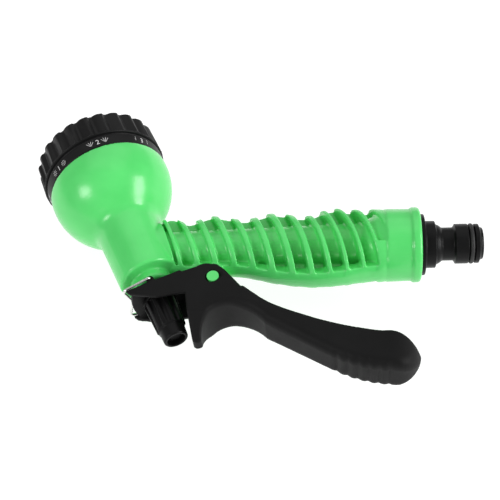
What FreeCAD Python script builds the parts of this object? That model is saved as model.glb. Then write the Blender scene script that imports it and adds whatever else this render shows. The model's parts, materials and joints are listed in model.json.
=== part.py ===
import FreeCAD, Part
import math
import os
import types

import Sketcher

Vector = FreeCAD.Vector
Rotation = FreeCAD.Rotation
Placement = FreeCAD.Placement

# ---------------------------------------------------------------------------
# A hose spray gun. The gun is built lying on its side:
#   X  along the handle, towards the hose connector
#   Y  in the plane of the gun, towards the spray head
#   Z  across the gun, upwards; the gun is symmetrical about Z = 0
# Head coordinates follow the axis of the neck and of the spray dial:
#   "up" is the distance along that axis towards the spray face,
#   "side" is the distance across it towards the handle.
# Both axes cross at the working origin. The last step moves everything so
# that the origin lies under the middle of the gun, on the surface it rests on.
# ---------------------------------------------------------------------------

DIMENSIONS = [
    # neck and bulb, distances along the head axis
    ("head_angle", 114.2),
    ("neck_end", -17.0),
    ("neck_rear_radius", 13.5),
    ("neck_front_radius", 14.5),
    ("neck_front", 9.0),
    ("neck_edge_round", 1.2),
    ("bulb_centre", 38.6),
    ("bulb_radius", 28.3),
    ("bulb_wall", 2.5),
    ("bulb_mouth", 41.5),
    ("bulb_round", 7.0),
    ("bulkhead_seat_radius", 25.6),
    ("bulkhead_seat", 37.5),
    # valve in the neck
    ("boss_radius", 8.3),
    ("boss_end", -21.4),
    ("gland_radius", 4.3),
    ("gland_floor", -15.6),
    ("neck_bore_radius", 8.0),
    ("neck_bore_floor", -13.0),
    ("valve_seat", 24.0),
    ("orifice_radius", 5.0),
    ("housing_radius", 10.0),
    ("housing_end", 27.5),
    ("stem_radius", 2.5),
    ("running_gap", 0.06),
    # handle, distances along the handle axis
    ("grip_start", 4.0),
    ("tube_start_radius", 8.0),
    ("tube_end", 99.0),
    ("tube_end_radius", 10.1),
    ("flare_radius", 15.2),
    ("collar_start", 109.7),
    ("collar_radius", 16.0),
    ("lip_start", 121.0),
    ("lip_radius", 16.5),
    ("tail_end", 124.7),
    ("inlet_bore_radius", 5.5),
    ("socket_start", 112.0),
    ("socket_radius", 9.0),
    # pockets that leave the ribs of the handle standing
    ("pocket_width", 5.5),
    ("pocket_foot_round", 1.5),
    ("pocket_lean", 13.2),
    ("pocket_side_radius", 150.0),
    ("pocket_top", 21.0),
    ("rail_height", 1.2),
    ("rail_taper", 0.15),
    ("web_half", 1.0),
    ("neck_groove_foot", 18.9),
    ("neck_groove_width", 1.4),
    ("last_pocket_foot", 108.0),
    ("last_pocket_floor", -7.0),
    # lever and its pivot
    ("pivot_along", 35.9),
    ("pivot_down", -21.4),
    ("pivot_radius", 2.55),
    ("lug_radius", 6.0),
    ("lug_half_width", 5.4),
    ("lug_top", -11.5),
    ("eye_radius", 4.6),
    ("eye_half_width", 8.7),
    ("lever_half_width", 11.3),
    ("grip_half_width", 9.7),
    ("channel_half_width", 9.2),
    ("plate_front", -25.1),
    ("plate_rear", -27.5),
    ("plate_reach", 11.2),
    ("plate_slot_half_width", 3.7),
    # hold-open bail, hinged in ears on the lever's cheeks
    ("bail_up", -24.05),
    ("bail_side", -0.8),
    ("bail_wire_radius", 0.6),
    ("bail_half_width", 12.35),
    ("bail_end_half_width", 9.6),
    ("bail_end_side", -13.6),
    ("bail_notch_side", -10.4),
    ("bail_pin_end", 9.5),
    ("ear_radius", 1.75),
    # flow knob
    ("knob_front", -28.6),
    ("knob_end", -50.2),
    ("knob_front_radius", 7.2),
    ("knob_end_radius", 5.3),
    ("knob_rib_count", 10),
    # dial
    ("dial_start", 41.8),
    ("band_end", 47.3),
    ("band_radius", 27.7),
    ("band_end_radius", 28.4),
    ("tooth_radius", 29.3),
    ("tooth_front_radius", 28.9),
    ("tooth_count", 24),
    ("pattern_count", 8),
    ("dial_end", 61.5),
    ("dial_bore_radius", 25.2),
    ("axle_radius", 5.0),
    ("port_radius", 13.0),
    ("port_hole_radius", 3.5),
    # hose plug, distances along the handle axis
    ("plug_start", 115.2),
    ("plug_flange_radius", 13.4),
    ("plug_collar_radius", 10.3),
    ("plug_groove_radius", 7.25),
    ("plug_land_radius", 8.7),
    ("plug_land_start", 139.7),
    ("plug_land_end", 145.2),
    ("plug_tip_radius", 8.55),
    ("plug_end", 151.5),
    ("plug_bore_radius", 4.5),
]

# The handle's oval section at stations along it: distance along the handle,
# highest and lowest point, and half the thickness across the gun.
GRIP_STATIONS = [
    (2.0, 14.9, -11.7, 10.5),
    (11.0, 14.6, -12.1, 10.4),
    (19.0, 14.3, -12.5, 10.4),
    (27.0, 14.4, -12.8, 10.7),
    (35.0, 16.4, -12.9, 11.0),
    (43.0, 14.6, -13.1, 11.1),
    (51.0, 14.4, -14.4, 11.5),
    (59.5, 16.9, -16.8, 12.2),
    (67.5, 15.9, -18.3, 12.8),
    (75.0, 14.6, -19.2, 13.2),
    (82.0, 16.9, -19.3, 13.6),
    (88.5, 18.3, -18.8, 14.0),
    (96.0, 17.1, -17.6, 14.5),
    (103.5, 16.5, -16.5, 15.2),
    (111.0, 15.5, -15.4, 15.3),
]

# Where the rounded feet of the leaning pockets stand along the handle.
POCKET_FEET = [24.0, 31.8, 40.0, 48.3, 56.7, 65.2, 73.7, 81.8, 89.3, 96.4, 103.4]

doc = FreeCAD.newDocument("hose_spray_gun")
sheet = doc.addObject("Spreadsheet::Sheet", "Dims")


class Size:
    """A length with its value and the sheet expression that it comes from."""

    def __init__(self, value, text):
        self.value = value
        self.text = text

    def __add__(self, other):
        other = as_size(other)
        return Size(self.value + other.value, f"({self.text} + {other.text})")

    def __sub__(self, other):
        other = as_size(other)
        return Size(self.value - other.value, f"({self.text} - {other.text})")

    def __mul__(self, other):
        other = as_size(other)
        return Size(self.value * other.value, f"({self.text} * {other.text})")

    def __truediv__(self, other):
        other = as_size(other)
        return Size(self.value / other.value, f"({self.text} / {other.text})")

    def __neg__(self):
        return Size(-self.value, f"(-1 * {self.text})")

    __radd__ = __add__

    def __rsub__(self, other):
        return as_size(other) - self

    __rmul__ = __mul__

    def root(self):
        return Size(math.sqrt(self.value), f"sqrt({self.text})")


def as_size(value):
    if isinstance(value, Size):
        return value
    return Size(float(value), repr(float(value)))


def fill_sheet():
    sizes = {}
    for row, (name, value) in enumerate(DIMENSIONS, start=1):
        sheet.set(f"A{row}", name)
        sheet.set(f"B{row}", str(value))
        sheet.setAlias(f"B{row}", name)
        sizes[name] = Size(float(value), f"Dims.{name}")
    row = len(DIMENSIONS)
    for number, station in enumerate(GRIP_STATIONS, start=1):
        for kind, value in zip(("along", "top", "bottom", "half"), station):
            row += 1
            name = f"grip_{kind}_{number}"
            sheet.set(f"A{row}", name)
            sheet.set(f"B{row}", str(value))
            sheet.setAlias(f"B{row}", name)
            sizes[name] = Size(value, f"Dims.{name}")
    for number, value in enumerate(POCKET_FEET, start=1):
        row += 1
        name = f"pocket_foot_{number}"
        sheet.set(f"A{row}", name)
        sheet.set(f"B{row}", str(value))
        sheet.setAlias(f"B{row}", name)
        sizes[name] = Size(value, f"Dims.{name}")
    doc.recompute()
    return types.SimpleNamespace(**sizes)


d = fill_sheet()

# ---------------------------------------------------------------------------
# Frames
# ---------------------------------------------------------------------------

head_turn = math.radians(d.head_angle.value)
UP = Vector(math.cos(head_turn), math.sin(head_turn), 0)
SIDE = Vector(UP.y, -UP.x, 0)
ACROSS = Vector(0, 0, 1)

GUN = Placement()
# head frame: x across the gun, y to the side, z up the head axis
HEAD = Placement(Vector(), Rotation(ACROSS, SIDE, UP, "ZXY"))


def shifted(frame, x, y, z, turn=None):
    return frame.multiply(Placement(Vector(x, y, z), turn or Rotation()))


# ---------------------------------------------------------------------------
# Sketches and features
# ---------------------------------------------------------------------------

nodes = []


def bind(thing, prop, size):
    """Binds a property to its sheet expression."""
    size = as_size(size)
    if "Dims." in size.text:
        thing.setExpression(prop, size.text)
    else:
        setattr(thing, prop, size.value)


def node(thing, label):
    """Marks an object as a finished piece; its label names its file."""
    thing.Label = label
    nodes.append(thing)
    return thing


def new_body(name, frame=GUN):
    body = doc.addObject("PartDesign::Body", name)
    body.Placement = frame
    return body


def origin_plane(body, role):
    return [item for item in body.Origin.OriginFeatures if item.Role == role][0]


def arc_through(start, end, bulge):
    """Arc from start to end. A positive bulge radius curves to the left."""
    radius = abs(bulge)
    middle = (start + end) * 0.5
    chord = end - start
    left = Vector(-chord.y, chord.x, 0).normalize()
    sagging = math.sqrt(max(radius**2 - (chord.Length / 2) ** 2, 0.0))
    toward = -1 if bulge > 0 else 1
    centre = middle + left * (toward * sagging)
    first, last = (end, start) if bulge > 0 else (start, end)
    begin_angle = math.atan2(first.y - centre.y, first.x - centre.x)
    end_angle = math.atan2(last.y - centre.y, last.x - centre.x)
    circle = Part.Circle(centre, Vector(0, 0, 1), radius)
    return Part.ArcOfCircle(circle, begin_angle, end_angle), bulge < 0


def pin_coordinate(sketch, kind, geometry, end, size):
    size = as_size(size)
    if size.value == 0:
        axis = -2 if kind == "DistanceX" else -1
        sketch.addConstraint(Sketcher.Constraint("PointOnObject", geometry, end, axis))
        return
    row = sketch.addConstraint(Sketcher.Constraint(kind, -1, 1, geometry, end, size.value))
    if "Dims." in size.text:
        sketch.setExpression(f"Constraints[{row}]", size.text)


def pin_radius(sketch, geometry, size):
    size = as_size(size)
    row = sketch.addConstraint(Sketcher.Constraint("Radius", geometry, size.value))
    if "Dims." in size.text:
        sketch.setExpression(f"Constraints[{row}]", size.text)


def draw_loop(sketch, points):
    """Closed outline. A point is (x, y) or (x, y, bulge radius to the next)."""
    ends = []
    count = len(points)
    corners = [Vector(as_size(p[0]).value, as_size(p[1]).value, 0) for p in points]
    for index, point in enumerate(points):
        start = corners[index]
        end = corners[(index + 1) % count]
        if len(point) == 3:
            bulge = as_size(point[2])
            arc, forwards = arc_through(start, end, bulge.value)
            row = sketch.addGeometry(arc)
            pin_radius(sketch, row, bulge if bulge.value > 0 else -bulge)
            ends.append((row, 1, 2) if forwards else (row, 2, 1))
        else:
            row = sketch.addGeometry(Part.LineSegment(start, end))
            ends.append((row, 1, 2))
    for index, point in enumerate(points):
        row, first, last = ends[index]
        following = ends[(index + 1) % count]
        sketch.addConstraint(
            Sketcher.Constraint("Coincident", row, last, following[0], following[1])
        )
        pin_coordinate(sketch, "DistanceX", row, first, point[0])
        pin_coordinate(sketch, "DistanceY", row, first, point[1])


def draw_path(sketch, points):
    """Open run of lines and arcs, in the same form as a closed outline."""
    corners = [Vector(as_size(p[0]).value, as_size(p[1]).value, 0) for p in points]
    previous = None
    for index in range(len(points) - 1):
        start, end = corners[index], corners[index + 1]
        if len(points[index]) == 3:
            bulge = as_size(points[index][2])
            arc, forwards = arc_through(start, end, bulge.value)
            row = sketch.addGeometry(arc)
            pin_radius(sketch, row, bulge if bulge.value > 0 else -bulge)
            first, last = (1, 2) if forwards else (2, 1)
        else:
            row = sketch.addGeometry(Part.LineSegment(start, end))
            first, last = 1, 2
        if previous:
            sketch.addConstraint(Sketcher.Constraint("Coincident", *previous, row, first))
        pin_coordinate(sketch, "DistanceX", row, first, points[index][0])
        pin_coordinate(sketch, "DistanceY", row, first, points[index][1])
        previous = (row, last)
    pin_coordinate(sketch, "DistanceX", *previous, points[-1][0])
    pin_coordinate(sketch, "DistanceY", *previous, points[-1][1])


def rounded_run(corners, radii):
    """Run of straight pieces with its inner corners rounded by tangent arcs."""
    spots = [Vector(x, y, 0) for x, y in corners]
    run = [corners[0]]
    for index, radius in enumerate(radii, start=1):
        before = (spots[index] - spots[index - 1]).normalize()
        after = (spots[index + 1] - spots[index]).normalize()
        turn = before.getAngle(after)
        leftwards = before.cross(after).z > 0
        reach = radius * math.tan(turn / 2)
        start = spots[index] - before * reach
        end = spots[index] + after * reach
        run.append((start.x, start.y, -radius if leftwards else radius))
        run.append((end.x, end.y))
    run.append(corners[-1])
    return run


def draw_circle(sketch, x, y, radius):
    x, y = as_size(x), as_size(y)
    circle = Part.Circle(Vector(x.value, y.value, 0), Vector(0, 0, 1), as_size(radius).value)
    row = sketch.addGeometry(circle)
    if x.value == 0 and y.value == 0:
        sketch.addConstraint(Sketcher.Constraint("Coincident", row, 3, -1, 1))
    else:
        pin_coordinate(sketch, "DistanceX", row, 3, x)
        pin_coordinate(sketch, "DistanceY", row, 3, y)
    pin_radius(sketch, row, radius)


def draw(sketch, loops):
    for loop in loops:
        if loop[0] == "circle":
            draw_circle(sketch, *loop[1:])
        else:
            draw_loop(sketch, loop)


def sketch_in(body, plane, loops, lift=0):
    """Sketch on one of the body's origin planes, lifted along its normal."""
    sketch = body.newObject("Sketcher::SketchObject", body.Name + "_sketch")
    sketch.AttachmentSupport = [(origin_plane(body, plane), "")]
    sketch.MapMode = "FlatFace"
    bind_lift(sketch, lift)
    draw(sketch, loops)
    return sketch


def bind_lift(sketch, lift):
    lift = as_size(lift)
    sketch.AttachmentOffset = Placement(Vector(0, 0, lift.value), Rotation())
    if "Dims." in lift.text:
        sketch.setExpression(".AttachmentOffset.Base.z", lift.text)


def spin(body, plane, axis, loops):
    """Full turn of a profile about the sketch's own axis."""
    sketch = sketch_in(body, plane, loops)
    feature = body.newObject("PartDesign::Revolution", body.Name + "_turn")
    feature.Profile = sketch
    feature.ReferenceAxis = (sketch, [axis])
    feature.Angle = 360
    return feature


def turned_on_head(name, points, label=None):
    """Piece turned about the head axis from (radius, up) points."""
    body = new_body(name, HEAD)
    spin(body, "XZ_Plane", "V_Axis", [points])
    return node(body, label) if label else body


def turned_on_handle(name, points, label=None):
    """Piece turned about the handle axis from (along, radius) points."""
    body = new_body(name, GUN)
    spin(body, "XY_Plane", "H_Axis", [points])
    return node(body, label) if label else body


def pad(body, plane, loops, length, lift=0, symmetric=False):
    sketch = sketch_in(body, plane, loops, lift)
    feature = body.newObject("PartDesign::Pad", body.Name + "_pad")
    feature.Profile = sketch
    if symmetric:
        feature.SideType = "Symmetric"
    bind(feature, "Length", length)
    return feature


def pocket(body, plane, loops, length, lift=0, reverse=False):
    sketch = sketch_in(body, plane, loops, lift)
    feature = body.newObject("PartDesign::Pocket", body.Name + "_pocket")
    feature.Profile = sketch
    feature.Reversed = reverse
    bind(feature, "Length", length)
    return feature


def repeat_round(body, feature, count):
    """Polar pattern about the normal of the feature's own sketch."""
    pattern = body.newObject("PartDesign::PolarPattern", body.Name + "_pattern")
    pattern.Originals = [feature]
    pattern.Axis = (feature.Profile[0], ["N_Axis"])
    pattern.Angle = 360
    bind(pattern, "Occurrences", count)
    body.Tip = pattern


def ring(inner, outer, low, high):
    """Rectangular half-section of a ring: (radius, up) points."""
    return [(inner, low), (outer, low), (outer, high), (inner, high)]


def hollow_ring_on_handle(inner, outer, low, high):
    """The same section with the distance along the handle first."""
    return [(low, inner), (high, inner), (high, outer), (low, outer)]


def fuse(name, shapes):
    result = doc.addObject("Part::MultiFuse", name)
    result.Shapes = shapes
    return result


def cut(name, base, tool):
    result = doc.addObject("Part::Cut", name)
    result.Base = base
    result.Tool = tool
    return result


def common(name, first, second):
    result = doc.addObject("Part::MultiCommon", name)
    result.Shapes = [first, second]
    return result


def cylinder(name, frame, radius, height):
    result = doc.addObject("Part::Cylinder", name)
    bind(result, "Radius", radius)
    bind(result, "Height", height)
    result.Placement = frame
    return result


def torus(name, frame, radius, section, label):
    result = doc.addObject("Part::Torus", name)
    bind(result, "Radius1", radius)
    bind(result, "Radius2", section)
    result.Placement = frame
    return node(result, label)


def coil(name, frame, radius, wire_radius, height, turns, label):
    """Twelve-sided wire swept along a helix."""
    helix = doc.addObject("Part::Helix", name + "_path")
    helix.Pitch = height / turns
    helix.Height = height
    helix.Radius = radius
    helix.Placement = frame
    section = doc.addObject("Part::RegularPolygon", name + "_wire")
    section.Circumradius = wire_radius
    section.Polygon = 12
    section.Placement = shifted(frame, radius, 0, 0, Rotation(Vector(1, 0, 0), 90))
    sweep = doc.addObject("Part::Sweep", name)
    sweep.Sections = [section]
    sweep.Spine = (helix, [])
    sweep.Solid = True
    sweep.Frenet = True
    return node(sweep, label)


# ---------------------------------------------------------------------------
# The green moulding: bulb, neck, ribbed handle, tail collar and pivot lug
# ---------------------------------------------------------------------------


def neck_and_bulb():
    """Outside of the neck, its rear boss and the bulb, turned in one."""
    reach = d.bulb_radius + d.bulb_round
    offset = d.neck_front_radius + d.bulb_round
    drop = (reach * reach - offset * offset).root()
    share = d.bulb_radius / reach
    rise = d.bulb_mouth - d.bulb_centre
    mouth_radius = (d.bulb_radius * d.bulb_radius - rise * rise).root()
    points = [
        (0, d.boss_end),
        (d.boss_radius - 0.8, d.boss_end, 0.8),
        (d.boss_radius, d.boss_end + 0.8),
        (d.boss_radius, d.neck_end),
        (d.neck_rear_radius - d.neck_edge_round, d.neck_end, -d.neck_edge_round),
        (d.neck_rear_radius, d.neck_end + d.neck_edge_round),
        (d.neck_front_radius, d.neck_front),
        (d.neck_front_radius, d.bulb_centre - drop, d.bulb_round),
        (offset * share, d.bulb_centre - drop * share, -d.bulb_radius),
        (mouth_radius, d.bulb_mouth),
        (0, d.bulb_mouth),
    ]
    return turned_on_head("neck_and_bulb", points)


def bulb_cavity():
    """Space inside the bulb, around the valve housing, and the bulkhead's seat."""
    inner = d.bulb_radius - d.bulb_wall
    floor = d.bulb_centre - (inner * inner - d.housing_radius * d.housing_radius).root()
    ledge_drop = d.bulb_centre - d.bulkhead_seat
    ledge = (inner * inner - ledge_drop * ledge_drop).root()
    points = [
        (0, d.housing_end),
        (d.housing_radius, d.housing_end),
        (d.housing_radius, floor, -inner),
        (ledge, d.bulkhead_seat),
        (d.bulkhead_seat_radius, d.bulkhead_seat),
        (d.bulkhead_seat_radius, d.bulb_mouth + 1),
        (0, d.bulb_mouth + 1),
    ]
    return turned_on_head("bulb_cavity", points)


def neck_bore():
    """Stepped bore for the gland, the stem and the valve."""
    stem_hole = d.stem_radius + d.running_gap
    points = [
        (0, d.boss_end - 1),
        (d.gland_radius, d.boss_end - 1),
        (d.gland_radius, d.gland_floor),
        (stem_hole, d.gland_floor),
        (stem_hole, d.neck_bore_floor),
        (d.neck_bore_radius, d.neck_bore_floor),
        (d.neck_bore_radius, d.housing_end + 1),
        (0, d.housing_end + 1),
    ]
    return turned_on_head("neck_bore", points)


def tube_and_tail():
    """Inner water tube, the collar at the tail and its rounded lip."""
    lip_round = 1.4
    points = [
        (2, 0),
        (2, d.tube_start_radius),
        (d.tube_end, d.tube_end_radius),
        (d.collar_start, d.flare_radius),
        (d.collar_start + 0.4, d.collar_radius),
        (d.lip_start - 0.5, d.collar_radius - 0.2),
        (d.lip_start + 0.2, d.lip_radius),
        (d.tail_end - lip_round, d.lip_radius, lip_round),
        (d.tail_end, d.lip_radius - lip_round),
        (d.tail_end, 0),
    ]
    return turned_on_handle("tube_and_tail", points)


def inlet_bore():
    points = [
        (0, 0),
        (0, d.inlet_bore_radius),
        (d.socket_start, d.inlet_bore_radius),
        (d.socket_start, d.socket_radius),
        (d.tail_end + 1, d.socket_radius),
        (d.tail_end + 1, 0),
    ]
    return turned_on_handle("inlet_bore", points)


def grip_envelope():
    """Smooth oval handle through its stations, before the pockets are cut."""
    sections = []
    for number in range(1, len(GRIP_STATIONS) + 1):
        along = getattr(d, f"grip_along_{number}")
        top = getattr(d, f"grip_top_{number}")
        bottom = getattr(d, f"grip_bottom_{number}")
        oval = doc.addObject("Part::Ellipse", f"grip_section_{number}")
        turn = Rotation(Vector(0, 1, 0), Vector(0, 0, 1), Vector(1, 0, 0), "ZXY")
        oval.Placement = Placement(Vector(along.value, 0, 0), turn)
        bind(oval, "MajorRadius", (top - bottom) / 2)
        bind(oval, "MinorRadius", getattr(d, f"grip_half_{number}"))
        oval.setExpression(".Placement.Base.x", along.text)
        oval.setExpression(".Placement.Base.y", ((top + bottom) / 2).text)
        sections.append(oval)
    loft = doc.addObject("Part::Loft", "grip_envelope")
    loft.Sections = sections
    loft.Solid = True
    loft.MaxDegree = 3
    return loft


def grip_bottom(along):
    """Lowest point of the handle, by straight lines between the stations."""
    for number in range(1, len(GRIP_STATIONS)):
        first = getattr(d, f"grip_along_{number}")
        last = getattr(d, f"grip_along_{number + 1}")
        if along.value <= last.value:
            low = getattr(d, f"grip_bottom_{number}")
            high = getattr(d, f"grip_bottom_{number + 1}")
            return low + (high - low) * (along - first) / (last - first)
    return getattr(d, f"grip_bottom_{len(GRIP_STATIONS)}")


def pocket_outline(foot, floor, lean, width, foot_round):
    """One leaning pocket: open at the top, with curved sides and a rounded foot."""
    half = width / 2
    corner = floor + foot_round
    return [
        (foot - half - lean, d.pocket_top, d.pocket_side_radius),
        (foot - half, corner, -foot_round),
        (foot - half + foot_round, floor),
        (foot + half - foot_round, floor, -foot_round),
        (foot + half, corner, -d.pocket_side_radius),
        (foot + half - lean, d.pocket_top),
    ]


def rib_pockets():
    """Pockets that leave the ribs standing on one side of the web."""
    loops = []
    thinnest_rail = 0.3
    rail_steps = 6
    full_depth = d.pocket_top - d.last_pocket_floor + 8
    for index in range(len(POCKET_FEET)):
        foot = getattr(d, f"pocket_foot_{index + 1}")
        rail = d.rail_height - d.rail_taper * min(index, rail_steps)
        floor = grip_bottom(foot) + rail + thinnest_rail
        loops.append(
            pocket_outline(foot, floor, d.pocket_lean, d.pocket_width, d.pocket_foot_round)
        )
    # narrow groove between the neck and the first rib
    floor = grip_bottom(d.neck_groove_foot) + d.rail_height + thinnest_rail
    width = d.neck_groove_width
    loops.append(pocket_outline(d.neck_groove_foot, floor, d.pocket_lean, width, width / 3))
    # the last pocket is short and runs out into the flare of the tail collar
    lean = d.pocket_lean * (d.pocket_top - d.last_pocket_floor) / full_depth
    last = (d.last_pocket_foot, d.last_pocket_floor, lean, d.pocket_width, d.pocket_foot_round)
    loops.append(pocket_outline(*last))
    return loops


def pocket_cutter(name, side):
    sketch = doc.addObject("Sketcher::SketchObject", name + "_sketch")
    draw(sketch, rib_pockets())
    sketch.Placement = Placement(Vector(0, 0, side * d.web_half.value), Rotation())
    sketch.setExpression(".Placement.Base.z", (d.web_half * side).text)
    block = doc.addObject("Part::Extrusion", name)
    block.Base = sketch
    block.DirMode = "Custom"
    block.Dir = Vector(0, 0, side)
    block.LengthFwd = 20
    block.Solid = True
    return block


def pivot_lug():
    """Lug under the handle that carries the lever's pivot pin."""
    body = new_body("pivot_lug", GUN)
    left = d.pivot_along - d.lug_radius
    right = d.pivot_along + d.lug_radius
    points = [
        (left, d.lug_top),
        (left, d.pivot_down, -d.lug_radius * 1.02),
        (right, d.pivot_down),
        (right - 3.5, d.lug_top),
    ]
    pad(body, "XY_Plane", [points], d.lug_half_width * 2, symmetric=True)
    eye = [("circle", d.pivot_along, d.pivot_down, d.eye_radius)]
    pad(body, "XY_Plane", eye, d.eye_half_width * 2, symmetric=True)
    return body


def gun_body():
    ribs = cut("grip_one_side", grip_envelope(), pocket_cutter("pockets_top", 1))
    ribs = cut("grip_both_sides", ribs, pocket_cutter("pockets_bottom", -1))
    outside = fuse("gun_outside", [neck_and_bulb(), tube_and_tail(), ribs, pivot_lug()])
    pin_hole = cylinder(
        "pivot_hole",
        Placement(Vector(d.pivot_along.value, d.pivot_down.value, -15), Rotation()),
        d.pivot_radius + 0.01,
        30,
    )
    hollows = fuse("gun_hollows", [bulb_cavity(), neck_bore(), inlet_bore(), pin_hole])
    return node(cut("gun_body_cut", outside, hollows), "gun_body")


def lever_pivot_pin():
    body = new_body("pivot_pin", GUN)
    circle = ("circle", d.pivot_along, d.pivot_down, d.pivot_radius)
    pad(body, "XY_Plane", [circle], (d.lever_half_width + 0.1) * 2, symmetric=True)
    return node(body, "lever_pivot_pin")


# ---------------------------------------------------------------------------
# Hose plug and the inlet
# ---------------------------------------------------------------------------


def hose_plug():
    """Quick-connect plug with its flange, collar, latch groove, land and tip."""
    bore = d.plug_bore_radius
    flange = d.tail_end + 0.1
    points = [
        (d.plug_start, bore),
        (d.plug_end, bore),
        (d.plug_end, d.plug_tip_radius - 1.7, 1.7),
        (d.plug_end - 1.7, d.plug_tip_radius),
        (148.0, d.plug_tip_radius),
        (148.0, 6.9),
        (d.plug_land_end, 6.9),
        (d.plug_land_end, d.plug_land_radius),
        (d.plug_land_start, d.plug_land_radius),
        (d.plug_land_start - 0.7, d.plug_groove_radius),
        (134.0, d.plug_groove_radius, -4.4),
        (131.4, d.plug_collar_radius - 1.5),
        (131.2, d.plug_collar_radius - 0.2),
        (131.0, d.plug_collar_radius),
        (flange + 2.0, d.plug_collar_radius),
        (flange + 1.7, d.plug_flange_radius),
        (flange, d.plug_flange_radius),
        (flange, d.socket_radius - 0.05),
        (d.plug_start, d.socket_radius - 0.05),
    ]
    return turned_on_handle("hose_plug_turned", points, "hose_plug")


def plug_o_ring():
    facing = Rotation(Vector(0, 1, 0), 90)
    frame = Placement(Vector(d.plug_land_end.value + 1.4, 0, 0), facing)
    return torus("plug_ring", frame, 7.88, 0.96, "plug_o_ring")


def inlet_washer():
    section = hollow_ring_on_handle(d.plug_bore_radius, d.socket_radius - 0.1, 113.1, 115.1)
    return turned_on_handle("washer_turned", section, "inlet_washer")


def inlet_filter():
    """Perforated strainer disc in front of the washer."""
    body = new_body("filter_disc", GUN)
    loops = [("circle", 0, 0, d.socket_radius - 0.1)]
    for count, radius in ((6, 2.0), (12, 4.1)):
        for index in range(count):
            turn = 2 * math.pi * index / count
            loops.append(("circle", radius * math.cos(turn), radius * math.sin(turn), 0.6))
    pad(body, "YZ_Plane", loops, 0.8, lift=112.15)
    return node(body, "inlet_filter")


# ---------------------------------------------------------------------------
# Valve, gland and flow knob, all on the head axis
# ---------------------------------------------------------------------------


def gland_bush():
    """Bush that holds the stem's O-ring in the rear boss."""
    bore = d.stem_radius + d.running_gap
    outer = d.gland_radius - 0.05
    section = ring(bore, outer, d.boss_end + 0.1, -17.5)
    return turned_on_head("gland", section, "gland_bush")


def valve_seat_bush():
    """Screwed-in bush whose rear face is the valve's seat."""
    outer = d.neck_bore_radius - 0.05
    section = ring(d.orifice_radius, outer, d.valve_seat, d.housing_end - 0.1)
    return turned_on_head("seat_bush", section, "valve_seat_bush")


def valve_stem():
    """Stem with the valve's disc and nose at its front end."""
    radius = d.stem_radius
    points = [
        (0, d.knob_end + 2.2),
        (radius, d.knob_end + 2.2),
        (radius, 19.2),
        (6.6, 19.2),
        (6.6, 21.4),
        (radius, 21.4),
        (radius, 23.9),
        (radius - 1.2, 26.0),
        (0, 26.0),
    ]
    return turned_on_head("stem_turned", points, "valve_stem")


def valve_washer():
    section = ring(d.stem_radius, 6.4, 21.45, d.valve_seat - 0.12)
    return turned_on_head("valve_washer_turned", section, "valve_washer")


def flow_knob():
    """Tapered knob with lengthwise flutes and a hollow end."""
    body = new_body("knob", HEAD)
    bore = d.stem_radius + d.running_gap
    end = d.knob_end
    section = [
        (bore, d.knob_front),
        (bore, end + 3.0),
        (d.knob_end_radius - 1.3, end + 3.0),
        (d.knob_end_radius - 1.3, end),
        (d.knob_end_radius - 0.4, end),
        (d.knob_end_radius, end + 0.5),
        (d.knob_end_radius + 0.25, end + 5.6),
        (d.knob_end_radius + 1.1, end + 6.1),
        (d.knob_front_radius, d.knob_front - 2.2),
        (d.knob_front_radius, d.knob_front),
    ]
    spin(body, "XZ_Plane", "V_Axis", [section])
    flute = pocket(
        body,
        "XY_Plane",
        [("circle", d.knob_front_radius, 0, 1.35)],
        14.6,
        lift=end + 5.9,
        reverse=True,
    )
    repeat_round(body, flute, d.knob_rib_count)
    return node(body, "flow_knob")


# ---------------------------------------------------------------------------
# Lever and hold-open bail
# ---------------------------------------------------------------------------


def lever_side_view():
    """Side outline: cheeks, palm grip, rounded end and the thumb horn."""
    return [
        (-0.9, -28.0),
        (8.6, -23.8),
        (28.4, -16.3, 7.0),
        (38.2, -17.2),
        (50.6, -27.6, -60.0),
        (66.0, -36.3, -190.0),
        (106.0, -48.0, 15.0),
        (121.2, -56.6, 9.5),
        (110.0, -64.6, 50.0),
        (88.0, -59.2),
        (58.0, -42.0, -22.0),
        (44.0, -34.3, -12.0),
        (31.6, -47.6, 2.2),
        (27.6, -47.4),
        (25.8, -38.0),
        (24.4, -28.8),
        (12.5, -31.0),
        (1.0, -29.6),
    ]


def lever_top_view():
    """Outline seen across the gun: wide cheeks, a waisted grip, a round end."""
    wide = d.lever_half_width
    slim = d.grip_half_width
    middle = (wide + slim) / 2
    waist = 141.0
    return [
        (-6, -wide),
        (42, -wide, -waist),
        (57, -middle, waist),
        (72, -slim, 300.0),
        (109, -slim - 0.5, -13.0),
        (122, 0, -13.0),
        (109, slim + 0.5, 300.0),
        (72, slim, waist),
        (57, middle, -waist),
        (42, wide),
        (-6, wide),
    ]


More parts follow.
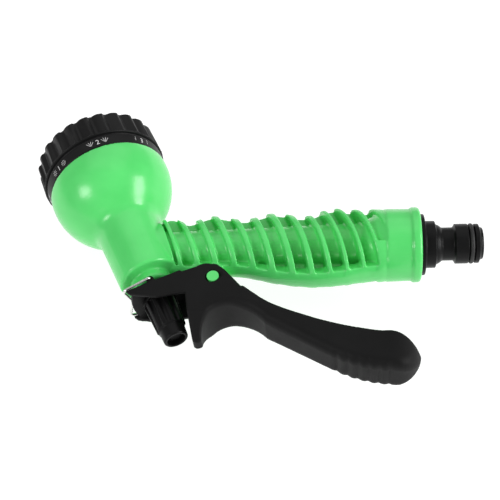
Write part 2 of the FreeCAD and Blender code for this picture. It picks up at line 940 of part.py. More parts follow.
def lever():
    side = new_body("lever_side", GUN)
    pad(side, "XY_Plane", [lever_side_view()], d.lever_half_width * 2, symmetric=True)
    top = new_body("lever_top", GUN)
    pad(top, "XZ_Plane", [lever_top_view()], 80, lift=-5)
    blank = common("lever_blank", side, top)
    # open channel between the cheeks, over the lug and the knob
    channel = new_body("lever_channel", GUN)
    floor_points = [
        (-8, -10),
        (-8, -36),
        (23.9, -36),
        (27.5, -31.2),
        (38.0, -31.2, 30.0),
        (56.0, -36.0),
        (56.0, -10),
    ]
    pad(channel, "XY_Plane", [floor_points], d.channel_half_width * 2, symmetric=True)
    # the horn narrows towards its tip
    horn_trim = new_body("horn_trim", GUN)
    wedges = []
    for side_sign in (1, -1):
        wedges.append(
            [
                (-37.5, side_sign * 11.8),
                (-49.0, side_sign * 11.8),
                (-49.0, side_sign * 2.6),
            ]
        )
    pad(horn_trim, "YZ_Plane", wedges, 16, lift=24)
    # plate behind the neck, slotted for the stem
    plate = new_body("lever_plate", HEAD)
    reach = d.plate_reach
    wide = d.lever_half_width
    corner = 6.0
    slot = d.plate_slot_half_width
    plate_outline = [
        (-wide, 12.6),
        (-wide, corner - reach, -corner - 2),
        (corner - 2 - wide, -reach + 0.9, -23.0),
        (wide - corner + 2, -reach + 0.9, -corner - 2),
        (wide, corner - reach),
        (wide, 12.6),
    ]
    slot_outline = [
        (-slot, -2.5, -slot * 1.02),
        (slot, -2.5),
        (slot, 2.5, -slot * 1.02),
        (-slot, 2.5),
    ]
    thickness = d.plate_front - d.plate_rear
    pad(plate, "XY_Plane", [plate_outline, slot_outline], thickness, lift=d.plate_rear)
    trimmed = cut("lever_open", blank, fuse("lever_tools", [channel, horn_trim]))
    across = Rotation(Vector(0, 1, 0), 90)
    ears = []
    for name, start in (("ear_far", -d.lever_half_width), ("ear_near", d.channel_half_width)):
        frame = shifted(HEAD, start.value, d.bail_side.value, d.bail_up.value, across)
        ears.append(cylinder(name, frame, d.ear_radius, d.lever_half_width - d.channel_half_width))
    whole = fuse("lever_whole", [trimmed, plate, *ears])
    pin_hole = cylinder(
        "lever_pin_hole",
        Placement(Vector(d.pivot_along.value, d.pivot_down.value, -15), Rotation()),
        d.pivot_radius + d.running_gap,
        30,
    )
    bail_hole = cylinder(
        "bail_hole",
        shifted(HEAD, -14, d.bail_side.value, d.bail_up.value, across),
        d.bail_wire_radius + 0.08,
        28,
    )
    holes = fuse("lever_holes", [pin_hole, bail_hole])
    return node(cut("lever_cut", whole, holes), "lever")


def hold_open_bail():
    """Wire loop that swings forward to prop the squeezed lever open."""
    wide, slim = d.bail_half_width.value, d.bail_end_half_width.value
    hinge, pin = d.bail_side.value, d.bail_pin_end.value
    end, notch = d.bail_end_side.value, d.bail_notch_side.value
    corners = [
        (pin, hinge),
        (wide, hinge),
        (slim, end),
        (0, notch),
        (-slim, end),
        (-wide, hinge),
        (-pin, hinge),
    ]
    path = doc.addObject("Sketcher::SketchObject", "bail_path")
    draw_path(path, rounded_run(corners, [0.95, 1.9, 4.0, 1.9, 0.95]))
    path.Placement = shifted(HEAD, 0, 0, d.bail_up.value)
    along_pin = Rotation(Vector(0, 1, 0), 90)
    section = doc.addObject("Part::Circle", "bail_wire")
    bind(section, "Radius", d.bail_wire_radius)
    section.Placement = shifted(HEAD, pin, hinge, d.bail_up.value, along_pin)
    sweep = doc.addObject("Part::Sweep", "bail")
    sweep.Sections = [section]
    sweep.Spine = (path, [])
    sweep.Solid = True
    return node(sweep, "hold_open_bail")


# ---------------------------------------------------------------------------
# Spray dial and what it turns on
# ---------------------------------------------------------------------------


def front_bulkhead():
    """Fixed disc in the bulb's mouth, with the axle and one off-centre port."""
    body = new_body("bulkhead", HEAD)
    rim = d.bulkhead_seat_radius - 0.1
    axle = d.axle_radius
    front = 41.3
    back = d.bulkhead_seat + 0.05
    section = [
        (0, back),
        (rim, back),
        (rim, front),
        (axle, front),
        (axle, 44.9),
        (3.6, 44.9),
        (3.6, 46.7),
        (axle, 46.7),
        (axle, 50.0),
        (2.05, 50.0),
        (2.05, 40.0),
        (0, 40.0),
    ]
    spin(body, "XZ_Plane", "V_Axis", [section])
    pad(body, "XY_Plane", [("circle", 0, -19, 4.0)], 5, lift=33.0)
    pocket(body, "XY_Plane", [("circle", 0, -19, 2.3)], 7.6, lift=41.4)
    pocket(body, "XY_Plane", [("circle", 0, d.port_radius, 5.6)], 2.6, lift=41.4)
    pocket(body, "XY_Plane", [("circle", 0, d.port_radius, d.port_hole_radius)], 5, lift=41.4)
    return node(body, "front_bulkhead")


def port_seal():
    frame = shifted(HEAD, 0, d.port_radius.value, 0)
    body = new_body("seal", frame)
    spin(body, "XZ_Plane", "V_Axis", [ring(d.port_hole_radius, 5.5, 38.85, 41.75)])
    return node(body, "port_seal")


def detent_plunger():
    frame = shifted(HEAD, 0, -19, 0)
    body = new_body("plunger", frame)
    tip = 41.72
    section = [(0, 38.4), (2.2, 38.4), (2.2, tip - 1.5, -2.4), (0.4, tip), (0, tip)]
    spin(body, "XZ_Plane", "V_Axis", [section])
    return node(body, "detent_plunger")


def center_screw():
    section = [
        (0, 41.0),
        (2.0, 41.0),
        (2.0, 51.2),
        (5.0, 51.2),
        (5.0, 52.6, -2.6),
        (3.4, 53.9),
        (1.0, 53.9),
        (1.0, 52.4),
        (0, 52.4),
    ]
    return turned_on_head("screw_turned", section, "center_screw")


def screw_washer():
    return turned_on_head("screw_washer_turned", ring(2.1, 8.0, 50.1, 51.1), "screw_washer")


def selector_disc():
    """Disc that turns with the dial and picks the port for each pattern."""
    body = new_body("selector", HEAD)
    bore = d.axle_radius + d.running_gap
    section = [
        (bore, d.dial_start + 0.1),
        (d.dial_bore_radius - 0.1, d.dial_start + 0.1),
        (d.dial_bore_radius - 0.1, 44.4),
        (8.0, 44.4),
        (8.0, 49.8),
        (bore, 49.8),
    ]
    spin(body, "XZ_Plane", "V_Axis", [section])
    port = pocket(body, "XY_Plane", [("circle", 0, d.port_radius, 3.0)], 4, lift=45)
    repeat_round(body, port, d.pattern_count)
    return node(body, "selector_disc")


def dial_ring():
    """Label band, groove and toothed grip of the dial."""
    body = new_body("dial", HEAD)
    bore = d.dial_bore_radius
    groove = d.band_end_radius - 0.8
    teeth = d.band_end + 0.8
    end = d.dial_end
    section = [
        (bore, d.dial_start),
        (d.band_radius - 0.5, d.dial_start),
        (d.band_radius, d.dial_start + 0.5),
        (d.band_end_radius, d.band_end - 0.2),
        (groove, d.band_end),
        (groove, teeth),
        (d.tooth_radius - 0.4, teeth),
        (d.tooth_radius, teeth + 0.6),
        (d.tooth_front_radius, end - 0.6),
        (d.tooth_front_radius - 0.6, end),
        (bore + 0.9, end),
        (bore, end - 1.2),
        (bore, 57.0),
        (bore - 1.7, 57.0),
        (bore - 1.7, 55.8),
        (bore, 54.6),
    ]
    spin(body, "XZ_Plane", "V_Axis", [section])
    # one scallop between two teeth, deeper towards one side
    pitch = 2 * math.pi / d.tooth_count.value
    outer = 30.2
    root = 27.4
    land = 0.09 * pitch

    def at(radius, turn):
        return (radius * math.cos(turn), radius * math.sin(turn))

    tip = d.tooth_radius.value
    edge = tip - 0.25
    loop = [
        at(outer, 0),
        (*at(edge, 0), -3.5),
        (*at(root + 0.1, pitch * 0.22), -2.5),
        (*at(root, pitch * 0.38), -14.0),
        at(edge, pitch - land),
        at(outer, pitch - land),
    ]
    notch = pocket(body, "XY_Plane", [loop], end - teeth - 0.2, lift=end + 0.5)
    repeat_round(body, notch, d.tooth_count)
    return node(body, "dial_ring")


def spray_plate():
    """Front plate with rings of spray holes for the eight patterns."""
    body = new_body("spray", HEAD)
    rim = d.dial_bore_radius - 0.15
    section = [(3.0, 57.1), (rim, 57.1), (rim, 59.4), (rim - 1.4, 60.0), (3.0, 60.0)]
    spin(body, "XZ_Plane", "V_Axis", [section])
    loops = []
    for count, radius, size in ((24, 21.2, 0.8), (24, 17.6, 0.8), (8, 13.0, 1.7)):
        for index in range(count):
            turn = 2 * math.pi * (index + 0.5) / count
            loops.append(("circle", radius * math.cos(turn), radius * math.sin(turn), size))
    pocket(body, "XY_Plane", loops, 5, lift=61)
    return node(body, "spray_plate")


def center_cap():
    section = [
        (0, 56.2),
        (2.9, 56.2),
        (2.9, 60.1),
        (7.6, 60.1),
        (7.6, 60.7),
        (6.2, 61.6),
        (0, 61.9),
    ]
    return turned_on_head("cap_turned", section, "center_cap")


# ---------------------------------------------------------------------------
# Assembly
# ---------------------------------------------------------------------------

gun_body()
lever_pivot_pin()
hose_plug()
plug_o_ring()
inlet_washer()
inlet_filter()
gland_bush()
valve_seat_bush()
torus("gland_ring", shifted(HEAD, 0, 0, -16.55), 3.42, 0.85, "stem_o_ring")
valve_stem()
valve_washer()
coil("valve_coil", shifted(HEAD, 0, 0, -12.3), 5.2, 0.55, 30.9, 7, "valve_spring")
flow_knob()
lever()
hold_open_bail()
front_bulkhead()
port_seal()
detent_plunger()
coil("detent_coil", shifted(HEAD, 0, -19, 34.35), 1.6, 0.3, 3.6, 3, "detent_spring")
torus("hub_ring", shifted(HEAD, 0, 0, 45.8), 4.34, 0.66, "hub_o_ring")
center_screw()
screw_washer()
selector_disc()
dial_ring()
spray_plate()
center_cap()

doc.recompute()


def check_pieces():
    """Stops if an object failed or a piece isn't one valid solid."""
    failed = [item.Name for item in doc.Objects if {"Invalid", "Error"} & set(item.State)]
    if failed:
        raise RuntimeError(f"objects failed: {failed}")
    for piece in nodes:
        shape = piece.Shape
        if shape.isNull() or not shape.isValid() or len(shape.Solids) != 1:
            raise RuntimeError(f"{piece.Label} isn't one valid solid")


def settle_origin():
    """Moves every piece so that the origin is on the surface under the gun."""
    box = FreeCAD.BoundBox()
    for piece in nodes:
        box.add(piece.Shape.optimalBoundingBox(True, False))
    shift = Placement(Vector(-box.Center.x, -box.Center.y, -box.ZMin), Rotation())
    for piece in nodes:
        piece.Placement = shift.multiply(piece.Placement)
    doc.recompute()
    return shift.Base


check_pieces()
origin_shift = settle_origin()
check_pieces()
print("working origin is at", [round(value, 4) for value in origin_shift])

os.makedirs("parts", exist_ok=True)
for piece in nodes:
    piece.Shape.exportStep(os.path.join("parts", f"{piece.Label}.step"))
    box = piece.Shape.BoundBox
    print(f"{piece.Label}: {piece.Shape.Volume:.1f} mm3, z {box.ZMin:.2f} to {box.ZMax:.2f}")
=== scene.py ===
import json
import math

import bmesh
import bpy
from mathutils import Matrix, Vector
from mathutils.kdtree import KDTree


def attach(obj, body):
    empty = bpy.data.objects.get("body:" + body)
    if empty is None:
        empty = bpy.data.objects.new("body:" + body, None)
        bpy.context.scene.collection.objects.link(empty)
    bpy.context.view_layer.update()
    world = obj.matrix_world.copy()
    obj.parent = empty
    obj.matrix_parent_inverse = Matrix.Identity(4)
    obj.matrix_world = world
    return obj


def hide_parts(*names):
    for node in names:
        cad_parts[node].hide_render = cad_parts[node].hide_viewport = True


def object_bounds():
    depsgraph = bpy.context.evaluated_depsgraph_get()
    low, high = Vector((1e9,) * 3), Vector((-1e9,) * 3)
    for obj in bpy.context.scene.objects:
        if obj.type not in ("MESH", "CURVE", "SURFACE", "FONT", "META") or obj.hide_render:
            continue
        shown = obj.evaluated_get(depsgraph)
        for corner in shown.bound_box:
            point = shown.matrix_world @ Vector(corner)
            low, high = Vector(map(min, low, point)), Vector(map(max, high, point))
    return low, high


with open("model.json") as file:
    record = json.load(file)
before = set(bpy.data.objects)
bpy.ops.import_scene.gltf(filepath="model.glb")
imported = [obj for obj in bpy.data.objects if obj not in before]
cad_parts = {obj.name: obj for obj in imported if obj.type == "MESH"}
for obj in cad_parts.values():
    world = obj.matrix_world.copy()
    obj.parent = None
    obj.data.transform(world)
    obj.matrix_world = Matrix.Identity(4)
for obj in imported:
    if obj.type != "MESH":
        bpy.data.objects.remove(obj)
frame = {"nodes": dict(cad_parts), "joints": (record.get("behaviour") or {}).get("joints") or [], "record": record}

cad_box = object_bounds()
MM = 0.001

# ---------------------------------------------------------------------------
# Places, all taken from the frame. The working axes cross inside the neck:
# "along" runs down the handle, "up" follows the axis of the spray head, "side"
# points from that axis towards the handle, and Z goes across the gun.
# ---------------------------------------------------------------------------

joints = {joint["name"]: joint for joint in frame["joints"]}
PIVOT_ALONG = 35.9 * MM
PIVOT_DOWN = -21.4 * MM
pivot = Vector(joints["lever_squeeze"]["pos_m"])
crossing = pivot - Vector((PIVOT_ALONG, PIVOT_DOWN, 0))
head_up = Vector(joints["dial_turn"]["axis"]).normalized()
head_side = Vector((head_up.y, -head_up.x, 0))
across = Vector((0, 0, 1))


def on_head(radius, turn, up):
    """Point round the head axis. A turn of 0 points towards the handle."""
    outwards = head_side * math.cos(turn) + across * math.sin(turn)
    return crossing + outwards * radius + head_up * up


# ---------------------------------------------------------------------------
# Mesh helpers
# ---------------------------------------------------------------------------


def new_piece(name, mesh):
    piece = bpy.data.objects.new(name, mesh)
    bpy.context.scene.collection.objects.link(piece)
    return piece


def apply_modifier(piece, kind, **settings):
    modifier = piece.modifiers.new(kind.lower(), kind)
    for key, value in settings.items():
        setattr(modifier, key, value)
    bpy.context.view_layer.update()
    shaped = piece.evaluated_get(bpy.context.evaluated_depsgraph_get())
    mesh = bpy.data.meshes.new_from_object(shaped)
    piece.modifiers.clear()
    piece.data = mesh


def stack(rings):
    """Closed solid through rings of points, as corners and faces."""
    count = len(rings[0])
    last = count * (len(rings) - 1)
    faces = [tuple(reversed(range(count))), tuple(range(last, last + count))]
    for first in range(0, last, count):
        for number in range(count):
            after = (number + 1) % count
            faces.append((first + number, first + after, first + after + count, first + number + count))
    return [corner for ring in rings for corner in ring], faces


def add_solids(mesh, solids):
    shape = bmesh.new()
    shape.from_mesh(mesh)
    for corners, faces in solids:
        made = [shape.verts.new(corner) for corner in corners]
        for face in faces:
            shape.faces.new([made[number] for number in face])
    shape.to_mesh(mesh)
    shape.free()


SMOOTHING = 0.5


def softened(node, body, material, voxel, rounds, keep, solids=()):
    """The CAD piece again, with the small rounded edges that a moulding has."""
    piece = new_piece(node + "_moulded", frame["nodes"][node].data.copy())
    add_solids(piece.data, solids)
    piece.data.materials.clear()
    apply_modifier(piece, "REMESH", mode="VOXEL", voxel_size=voxel)
    apply_modifier(piece, "SMOOTH", factor=SMOOTHING, iterations=rounds)
    if keep < 1:
        apply_modifier(piece, "DECIMATE", ratio=keep)
    piece.data.materials.clear()
    piece.data.materials.append(material)
    piece.data.shade_smooth()
    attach(piece, body)
    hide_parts(node)
    return piece


def finish_node(node, material):
    """A CAD piece that keeps its own shape and gets its finish."""
    piece = frame["nodes"][node]
    piece.data.materials.clear()
    piece.data.materials.append(material)


# ---------------------------------------------------------------------------
# Materials
# ---------------------------------------------------------------------------


MOTTLE = 14 * MM
GLOSS_PATCH = 5 * MM
DRAWN_LINE = 0.35 * MM
DRAWN_RELIEF = 0.01 * MM
RAMP_DARK = 0.3
RAMP_LIGHT = 0.7
PLASTIC_IOR = 1.5
GLOW_DEPTH = 1.5 * MM
GLOW_SPREAD = (0.5, 1.0, 0.6)


def new_material(name):
    material = bpy.data.materials.new(name)
    material.use_nodes = True
    tree = material.node_tree
    shader = tree.nodes["Principled BSDF"]
    return material, tree, shader


def noise_node(tree, scale, detail=2.0, stretch=(1, 1, 1)):
    """Noise in real millimetres: scale is the size of one lump in metres."""
    place = tree.nodes.new("ShaderNodeTexCoord")
    mapping = tree.nodes.new("ShaderNodeMapping")
    mapping.inputs["Scale"].default_value = stretch
    noise = tree.nodes.new("ShaderNodeTexNoise")
    noise.inputs["Scale"].default_value = 1 / scale
    noise.inputs["Detail"].default_value = detail
    tree.links.new(place.outputs["Object"], mapping.inputs["Vector"])
    tree.links.new(mapping.outputs["Vector"], noise.inputs["Vector"])
    return noise


def vary_colour(tree, shader, noise, dark, light):
    ramp = tree.nodes.new("ShaderNodeValToRGB")
    ramp.color_ramp.elements[0].position = RAMP_DARK
    ramp.color_ramp.elements[0].color = (*dark, 1)
    ramp.color_ramp.elements[1].position = RAMP_LIGHT
    ramp.color_ramp.elements[1].color = (*light, 1)
    tree.links.new(noise.outputs["Fac"], ramp.inputs["Fac"])
    tree.links.new(ramp.outputs["Color"], shader.inputs["Base Color"])


def vary_roughness(tree, shader, noise, low, high):
    spread = tree.nodes.new("ShaderNodeMapRange")
    spread.inputs["To Min"].default_value = low
    spread.inputs["To Max"].default_value = high
    tree.links.new(noise.outputs["Fac"], spread.inputs["Value"])
    tree.links.new(spread.outputs["Result"], shader.inputs["Roughness"])


def add_bump(tree, shader, noise, height, strength=1.0):
    bump = tree.nodes.new("ShaderNodeBump")
    bump.inputs["Distance"].default_value = height
    bump.inputs["Strength"].default_value = strength
    tree.links.new(noise.outputs["Fac"], bump.inputs["Height"])
    tree.links.new(bump.outputs["Normal"], shader.inputs["Normal"])


def moulded_plastic(name, dark, light, low, high, grain, relief, sheen=0.5, through=0.0):
    """Injection-moulded plastic: faint mottling, orange peel and uneven gloss."""
    material, tree, shader = new_material(name)
    shader.inputs["Specular IOR Level"].default_value = sheen
    vary_colour(tree, shader, noise_node(tree, MOTTLE), dark, light)
    vary_roughness(tree, shader, noise_node(tree, GLOSS_PATCH, 4), low, high)
    add_bump(tree, shader, noise_node(tree, grain, 3), relief)
    shader.inputs["IOR"].default_value = PLASTIC_IOR
    if through:
        shader.inputs["Subsurface Weight"].default_value = through
        shader.inputs["Subsurface Scale"].default_value = GLOW_DEPTH
        shader.inputs["Subsurface Radius"].default_value = GLOW_SPREAD
    return material


def metal(name, dark, light, low, high, stretch):
    """Drawn or turned metal: fine lines along one direction."""
    material, tree, shader = new_material(name)
    lines = noise_node(tree, DRAWN_LINE, 3, stretch)
    vary_colour(tree, shader, lines, dark, light)
    vary_roughness(tree, shader, lines, low, high)
    add_bump(tree, shader, lines, DRAWN_RELIEF)
    shader.inputs["Metallic"].default_value = 1.0
    return material


GREEN = moulded_plastic(
    "green_plastic",
    (0.085, 0.66, 0.145),
    (0.105, 0.72, 0.17),
    0.2,
    0.27,
    1.1 * MM,
    0.01 * MM,
    through=0.12,
)
BLACK = moulded_plastic(
    "black_plastic",
    (0.0042, 0.0042, 0.0044),
    (0.006, 0.006, 0.0062),
    0.32,
    0.42,
    0.5 * MM,
    0.012 * MM,
    sheen=0.13,
)
LEVER_BLACK = moulded_plastic(
    "lever_plastic",
    (0.005, 0.005, 0.0051),
    (0.0068, 0.0068, 0.0069),
    0.5,
    0.62,
    0.35 * MM,
    0.02 * MM,
    sheen=0.13,
)
DIAL_BLACK = moulded_plastic(
    "dial_plastic",
    (0.0055, 0.0055, 0.0057),
    (0.0078, 0.0078, 0.008),
    0.34,
    0.46,
    0.45 * MM,
    0.014 * MM,
    sheen=0.17,
)
GREY = moulded_plastic(
    "grey_plastic",
    (0.24, 0.24, 0.24),
    (0.31, 0.31, 0.31),
    0.4,
    0.5,
    0.6 * MM,
    0.01 * MM,
)
RUBBER = moulded_plastic(
    "rubber",
    (0.006, 0.006, 0.006),
    (0.01, 0.01, 0.01),
    0.5,
    0.62,
    0.25 * MM,
    0.01 * MM,
)
PRINT = moulded_plastic(
    "white_print",
    (0.62, 0.62, 0.62),
    (0.78, 0.78, 0.78),
    0.5,
    0.6,
    0.3 * MM,
    0.006 * MM,
)
WIRE = metal("bright_wire", (0.72, 0.72, 0.7), (0.86, 0.86, 0.84), 0.16, 0.28, (0.15, 0.15, 1))
STEEL = metal("stainless", (0.5, 0.5, 0.5), (0.62, 0.62, 0.62), 0.22, 0.36, (1, 1, 0.2))
BRASS = metal("brass", (0.6, 0.42, 0.16), (0.72, 0.52, 0.22), 0.2, 0.34, (1, 1, 0.2))

FINISHES = {
    "green_plastic": GREEN,
    "black_plastic": BLACK,
    "lever_plastic": LEVER_BLACK,
    "dial_plastic": DIAL_BLACK,
    "grey_plastic": GREY,
    "black_rubber": RUBBER,
    "bright_wire": WIRE,
    "stainless_steel": STEEL,
    "brass": BRASS,
}

for part in frame["record"]["subparts"]:
    finish_node(part["node"], FINISHES[part["material_slot"]])

# ---------------------------------------------------------------------------
# The green moulding
# ---------------------------------------------------------------------------


# Sections of the handle: along, top, bottom and half width, in millimetres.
HANDLE_SECTIONS = (
    (27.0, 14.4, -12.8, 10.7),
    (35.0, 16.4, -12.9, 11.0),
    (43.0, 14.6, -13.1, 11.1),
    (51.0, 14.4, -14.4, 11.5),
    (59.5, 16.9, -16.8, 12.2),
    (67.5, 15.9, -18.3, 12.8),
    (75.0, 14.6, -19.2, 13.2),
    (82.0, 16.9, -19.3, 13.6),
    (88.5, 18.3, -18.8, 14.0),
    (96.0, 17.1, -17.6, 14.5),
    (103.5, 16.5, -16.5, 15.2),
    (110.5, 15.5, -15.4, 15.3),
)
RAIL_TURN = math.radians(24)
RAIL_DEPTH = 5.0
RAIL_INSET = 0.1
RAIL_STEPS = 8


def handle_rail():
    """The plain rail under the handle, where the pockets between the ribs end."""
    rings = []
    for along, top, bottom, half in HANDLE_SECTIONS:
        ring = []
        for inset, way in ((RAIL_INSET, 1), (RAIL_DEPTH, -1)):
            for step in range(-RAIL_STEPS, RAIL_STEPS + 1):
                turn = way * RAIL_TURN * step / RAIL_STEPS
                down = (top - bottom) / 2 - inset
                y = (top + bottom) / 2 - down * math.cos(turn)
                ring.append(crossing + Vector((along, y, (half - inset) * math.sin(turn))) * MM)
        rings.append(ring)
    return stack(rings)


def green_body():
    piece = softened("gun_body", "gun", GREEN, 0.45 * MM, 3, 0.45, [handle_rail()])


green_body()

# ---------------------------------------------------------------------------
# The lever: softened, with a fuller shoulder on each ear, its grip rounded
# towards the palm and scallops under its end
# ---------------------------------------------------------------------------

GRIP_HALF_WIDTH = 10 * MM
OUTLINE_TILT = 0.35
PALM_FROM = 30 * MM
PALM_TILT = -0.2
BLADE_TO = 48 * MM
END_FROM = 104 * MM
END_TILT = 0.4
HANDLE_TILT = 0.3
BLADE_ROUND = 1.1 * MM
GRIP_ROUND = 4.2 * MM
TOP_ROUND = 1.4 * MM
TOP_ROUND_FADE = 10 * MM
END_ROUND = 1.4 * MM
END_ROUND_FROM = 112 * MM
END_ROUND_FADE = 12 * MM
ROUND_FROM = 26 * MM
ROUND_FULL = 62 * MM
SOLID_FROM = 50 * MM
SCALLOPS_FROM = 83 * MM
SCALLOPS_TO = 112.4 * MM
SCALLOP_PITCH = 4.2 * MM
SCALLOP_DEPTH = 0.8 * MM
SCALLOP_REACH = 3.5 * MM


def smooth_step(value):
    value = min(max(value, 0.0), 1.0)
    return value * value * (3 - 2 * value)


def rim_tree(mesh, wanted):
    """Places, seen from the side, where the lever's outline faces a wanted way."""
    places = []
    for vertex in mesh.vertices:
        if abs(vertex.normal.z) < OUTLINE_TILT and wanted(vertex.co.x - crossing.x, vertex.normal):
            places.append((vertex.co.x, vertex.co.y, 0))
    tree = KDTree(len(places))
    for number, place in enumerate(places):
        tree.insert(place, number)
    tree.balance()
    return tree


def faces_palm(along, normal):
    if along < PALM_FROM:
        return False
    return normal.y < PALM_TILT or (normal.x > END_TILT and along < BLADE_TO)


def faces_handle(along, normal):
    at_end = along > END_FROM and normal.x > END_TILT
    return along > SOLID_FROM and (normal.y > HANDLE_TILT or at_end)


def edge_factor(half, distance, radius):
    """Share of the half width left at a distance inside a rounded edge."""
    if distance >= radius:
        return 1.0
    inset = radius - math.sqrt(radius**2 - (radius - distance) ** 2)
    return (half - inset) / half


def shape_grip(mesh):
    """Rounds the lever's edges, and cuts shallow scallops under its end."""
    palm = rim_tree(mesh, faces_palm)
    top = rim_tree(mesh, faces_handle)
    middle = crossing.z
    half = GRIP_HALF_WIDTH
    moved = []
    for vertex in mesh.vertices:
        along = vertex.co.x - crossing.x
        if along < ROUND_FROM:
            continue
        flat = (vertex.co.x, vertex.co.y, 0)
        grown = smooth_step((along - ROUND_FROM) / (ROUND_FULL - ROUND_FROM))
        radius = BLADE_ROUND + (GRIP_ROUND - BLADE_ROUND) * grown
        depth = palm.find(flat)[2]
        factor = edge_factor(half, depth, radius)
        if along > SOLID_FROM:
            rounding = TOP_ROUND * smooth_step((along - SOLID_FROM) / TOP_ROUND_FADE)
            rounding += END_ROUND * smooth_step((along - END_ROUND_FROM) / END_ROUND_FADE)
            factor *= edge_factor(half, top.find(flat)[2], rounding)
        lift = 0.0
        if SCALLOPS_FROM < along < SCALLOPS_TO and vertex.normal.y < 0:
            wave = abs(math.sin(math.pi * (along - SCALLOPS_FROM) / SCALLOP_PITCH))
            fade = smooth_step(min(along - SCALLOPS_FROM, SCALLOPS_TO - along) / SCALLOP_PITCH)
            lift = SCALLOP_DEPTH * fade * (1 - wave) * max(1 - depth / SCALLOP_REACH, 0)
        moved.append((vertex.index, middle + (vertex.co.z - middle) * factor, lift))
    for index, z, lift in moved:
        mesh.vertices[index].co.z = z
        mesh.vertices[index].co.y += lift


# Rounded shoulder of each ear behind the pivot pin, from the pivot, in
# millimetres: it goes over the top of the pin and down to the back edge.
EAR_SHOULDER = (
    (-1.6, 6.3), (-1.6, 4.4), (1.0, 4.0), (3.2, 2.2), (3.8, -1.0), (6.0, -5.0), (12.0, -7.4),
    (14.8, -7.4), (12.9, -4.6), (5.0, 4.3), (3.6, 5.5), (2.0, 6.2), (0.2, 6.5),
)
EAR_INSIDE = 9.2
EAR_OUTSIDE = 11.3


def ear_shoulder(side):
    heights = sorted((side * EAR_INSIDE, side * EAR_OUTSIDE))
    return stack([[pivot + Vector((x, y, z)) * MM for x, y in EAR_SHOULDER] for z in heights])


def black_lever():
    shoulders = [ear_shoulder(-1), ear_shoulder(1)]
    piece = softened("lever", "lever", LEVER_BLACK, 0.4 * MM, 4, 1.0, shoulders)
    shape_grip(piece.data)
    apply_modifier(piece, "SMOOTH", factor=SMOOTHING, iterations=2)
    piece.data.shade_smooth()


black_lever()

# ---------------------------------------------------------------------------
# Knob, plug and dial
# ---------------------------------------------------------------------------


def softened_small_parts():
    for node, body, slot, voxel in (
        ("flow_knob", "knob", "black_plastic", 0.22 * MM),
        ("hose_plug", "gun", "black_plastic", 0.28 * MM),
        ("dial_ring", "dial", "dial_plastic", 0.3 * MM),
    ):
        piece = softened(node, body, FINISHES[slot], voxel, 2, 0.7)


softened_small_parts()

# ---------------------------------------------------------------------------
# Printed marks round the dial's band: a number and a spray mark for each of
# the eight patterns
# ---------------------------------------------------------------------------

BAND_LOW = 42.3 * MM
BAND_HIGH = 47.1 * MM
BAND_LOW_RADIUS = 27.7 * MM
BAND_HIGH_RADIUS = 28.4 * MM
PRINT_LIFT = 0.06 * MM
STROKE_WIDTH = 0.17 * MM
FAN_FOOT = 0.3 * MM
FAN_FOOT_SPREAD = 0.35 * MM
NUMERAL_SCALE = 1.38
MARK_OFFSET = 3.5 * MM
DIAL_STEP = math.radians(45)
MARK_FOOT = 43.3 * MM
MARK_HEIGHT = 2.5 * MM
FIRST_MARK = math.radians(88)


def on_band(centre_turn, sideways, raised):
    """Point on the band: sideways and raised are measured on its surface."""
    up = MARK_FOOT + raised
    share = (up - BAND_LOW) / (BAND_HIGH - BAND_LOW)
    radius = BAND_LOW_RADIUS + (BAND_HIGH_RADIUS - BAND_LOW_RADIUS) * share + PRINT_LIFT
    return on_head(radius, centre_turn - sideways / radius, up)


def numeral(text, centre_turn, sideways):
    curve = bpy.data.curves.new("numeral_" + text, "FONT")
    curve.body = text
    curve.size = MARK_HEIGHT * NUMERAL_SCALE
    curve.resolution_u = 4
    curve.align_x = "CENTER"
    holder = new_piece("numeral_" + text, curve)
    bpy.context.view_layer.update()
    flat = holder.evaluated_get(bpy.context.evaluated_depsgraph_get())
    mesh = bpy.data.meshes.new_from_object(flat)
    bpy.data.objects.remove(holder)
    for vertex in mesh.vertices:
        vertex.co = on_band(centre_turn, sideways + vertex.co.x, vertex.co.y)
    return mesh


def stroke(points, width):
    """Flat stroke through (sideways, raised) points, as corners and one face."""
    (x0, y0), (x1, y1) = points
    length = math.hypot(x1 - x0, y1 - y0)
    nx, ny = -(y1 - y0) / length * width / 2, (x1 - x0) / length * width / 2
    return [(x0 + nx, y0 + ny), (x0 - nx, y0 - ny), (x1 - nx, y1 - ny), (x1 + nx, y1 + ny)]


def dot(x, y, radius):
    turns = [2 * math.pi * step / 12 for step in range(12)]
    return [(x + radius * math.cos(turn), y + radius * math.sin(turn)) for turn in turns]


def fan(count, spread, length):
    """Strokes that fan out from a nozzle, as a spray does."""
    shapes = []
    for number in range(count):
        tilt = spread * (number / (count - 1) - 0.5) if count > 1 else 0
        foot = (FAN_FOOT_SPREAD * math.sin(tilt), FAN_FOOT)
        tip = (length * math.sin(tilt), FAN_FOOT + (length - FAN_FOOT) * math.cos(tilt))
        shapes.append(stroke((foot, tip), STROKE_WIDTH))
    return shapes


def ring_of_dots(count, radius, size):
    shapes = []
    for number in range(count):
        turn = 2 * math.pi * number / count
        shapes.append(dot(radius * math.cos(turn), MARK_HEIGHT / 2 + radius * math.sin(turn), size))
    return shapes


def pattern_marks():
    """One small drawing for each spray pattern, round the dial."""
    full = ring_of_dots(8, 1.1 * MM, 0.2 * MM) + ring_of_dots(4, 0.5 * MM, 0.18 * MM)
    return [
        full,
        fan(4, math.radians(80), 2.6 * MM),
        fan(1, 0, 2.6 * MM),
        fan(3, math.radians(50), 2.6 * MM),
        ring_of_dots(10, 1.1 * MM, 0.17 * MM),
        fan(5, math.radians(120), 2.3 * MM),
        ring_of_dots(5, 0.7 * MM, 0.25 * MM),
        fan(2, math.radians(30), 2.6 * MM),
    ]


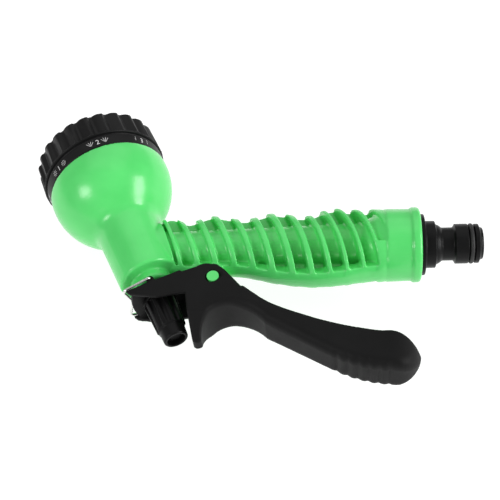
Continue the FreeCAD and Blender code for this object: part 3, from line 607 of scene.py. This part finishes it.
def printed_marks():
    for number, shapes in enumerate(pattern_marks(), start=1):
        centre = FIRST_MARK - (number - 2) * DIAL_STEP
        for side, sideways in (("left", -MARK_OFFSET), ("right", MARK_OFFSET)):
            points, faces = [], []
            for shape in shapes:
                first = len(points)
                points += [on_band(centre, sideways + x, y) for x, y in shape]
                faces.append(tuple(range(first, len(points))))
            mesh = bpy.data.meshes.new(f"mark_{number}_{side}")
            mesh.from_pydata(points, [], faces)
            mesh.materials.append(PRINT)
            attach(new_piece(mesh.name, mesh), "dial")
        mesh = numeral(str(number), centre, 0)
        mesh.materials.clear()
        mesh.materials.append(PRINT)
        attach(new_piece(f"number_{number}", mesh), "dial")


printed_marks()

# ---------------------------------------------------------------------------
# Stage, lights and camera
# ---------------------------------------------------------------------------


FLOOR_HALF = 3.0
FLOOR_GAP = 0.3 * MM
FLOOR_GREY = (0.34, 0.34, 0.34, 1)
FLOOR_GLOW = 0.84
WORLD_STRENGTH = 0.42


def pale_floor():
    size = FLOOR_HALF
    mesh = bpy.data.meshes.new("floor")
    corners = [(-size, -size, 0), (size, -size, 0), (size, size, 0), (-size, size, 0)]
    mesh.from_pydata(corners, [], [(0, 1, 2, 3)])
    floor = new_piece("floor", mesh)
    floor.location.z = cad_box[0].z - FLOOR_GAP
    material, tree, shader = new_material("pale_floor")
    shader.inputs["Base Color"].default_value = FLOOR_GREY
    shader.inputs["Roughness"].default_value = 0.9
    shader.inputs["Specular IOR Level"].default_value = 0.1
    shader.inputs["Emission Color"].default_value = (1, 1, 1, 1)
    shader.inputs["Emission Strength"].default_value = FLOOR_GLOW
    mesh.materials.append(material)


def softbox(name, direction, long_way, distance, width, height, brightness):
    """Area light that faces the gun; long_way is where its height points."""
    light = bpy.data.lights.new(name, "AREA")
    light.shape = "RECTANGLE"
    light.size = width
    light.size_y = height
    light.energy = brightness * width * height * math.pi
    lamp = bpy.data.objects.new(name, light)
    bpy.context.scene.collection.objects.link(lamp)
    away = Vector(direction).normalized()
    sideways = Vector(long_way).cross(away).normalized()
    upwards = away.cross(sideways)
    turn = Matrix((sideways, upwards, away)).transposed().to_4x4()
    lamp.matrix_world = Matrix.Translation(crossing + away * distance) @ turn


def studio():
    world = bpy.data.worlds.new("studio")
    bpy.context.scene.world = world
    world.use_nodes = True
    background = world.node_tree.nodes["Background"]
    background.inputs["Color"].default_value = (1, 1, 1, 1)
    background.inputs["Strength"].default_value = WORLD_STRENGTH
    slanted = (0.0, 0.85, 0.52)
    softbox("left_softbox", (-0.62, -0.48, 0.62), slanted, 1.2, 0.44, 0.36, 9)
    softbox("right_softbox", (0.91, -0.19, 0.38), slanted, 1.2, 0.4, 0.8, 10)
    softbox("low_softbox", (-0.08, -0.97, 0.18), (1, 0, 0), 1.2, 0.2, 0.16, 7)
    softbox("overhead", (0.0, 0.55, 0.84), (1, 0, 0), 1.5, 1.6, 1.8, 0.6)
    bpy.context.scene.view_settings.view_transform = "Standard"


# The camera looks at a point beside the working axes, from the palm's side.
CAMERA_DISTANCE = 428.4 * MM
CAMERA_TARGET = Vector((50.31, -0.66, 0)) * MM
CAMERA_FORWARD = Vector((-0.07946, 0.57312, -0.81561))
CAMERA_UP = Vector((0.02417, 0.81907, 0.57319))
CAMERA_LENS = 69.6


def camera():
    """Long lens, looking down at the gun's side from below the lever."""
    target = crossing + CAMERA_TARGET
    forward = CAMERA_FORWARD.normalized()
    right = forward.cross(CAMERA_UP).normalized()
    upright = right.cross(forward)
    data = bpy.data.cameras.new("camera")
    data.sensor_width = 36
    data.lens = CAMERA_LENS
    data.clip_start = 0.01
    view = bpy.data.objects.new("camera", data)
    bpy.context.scene.collection.objects.link(view)
    turn = Matrix((right, upright, -forward)).transposed().to_4x4()
    view.matrix_world = Matrix.Translation(target - forward * CAMERA_DISTANCE) @ turn
    bpy.context.scene.camera = view


pale_floor()
studio()
camera()
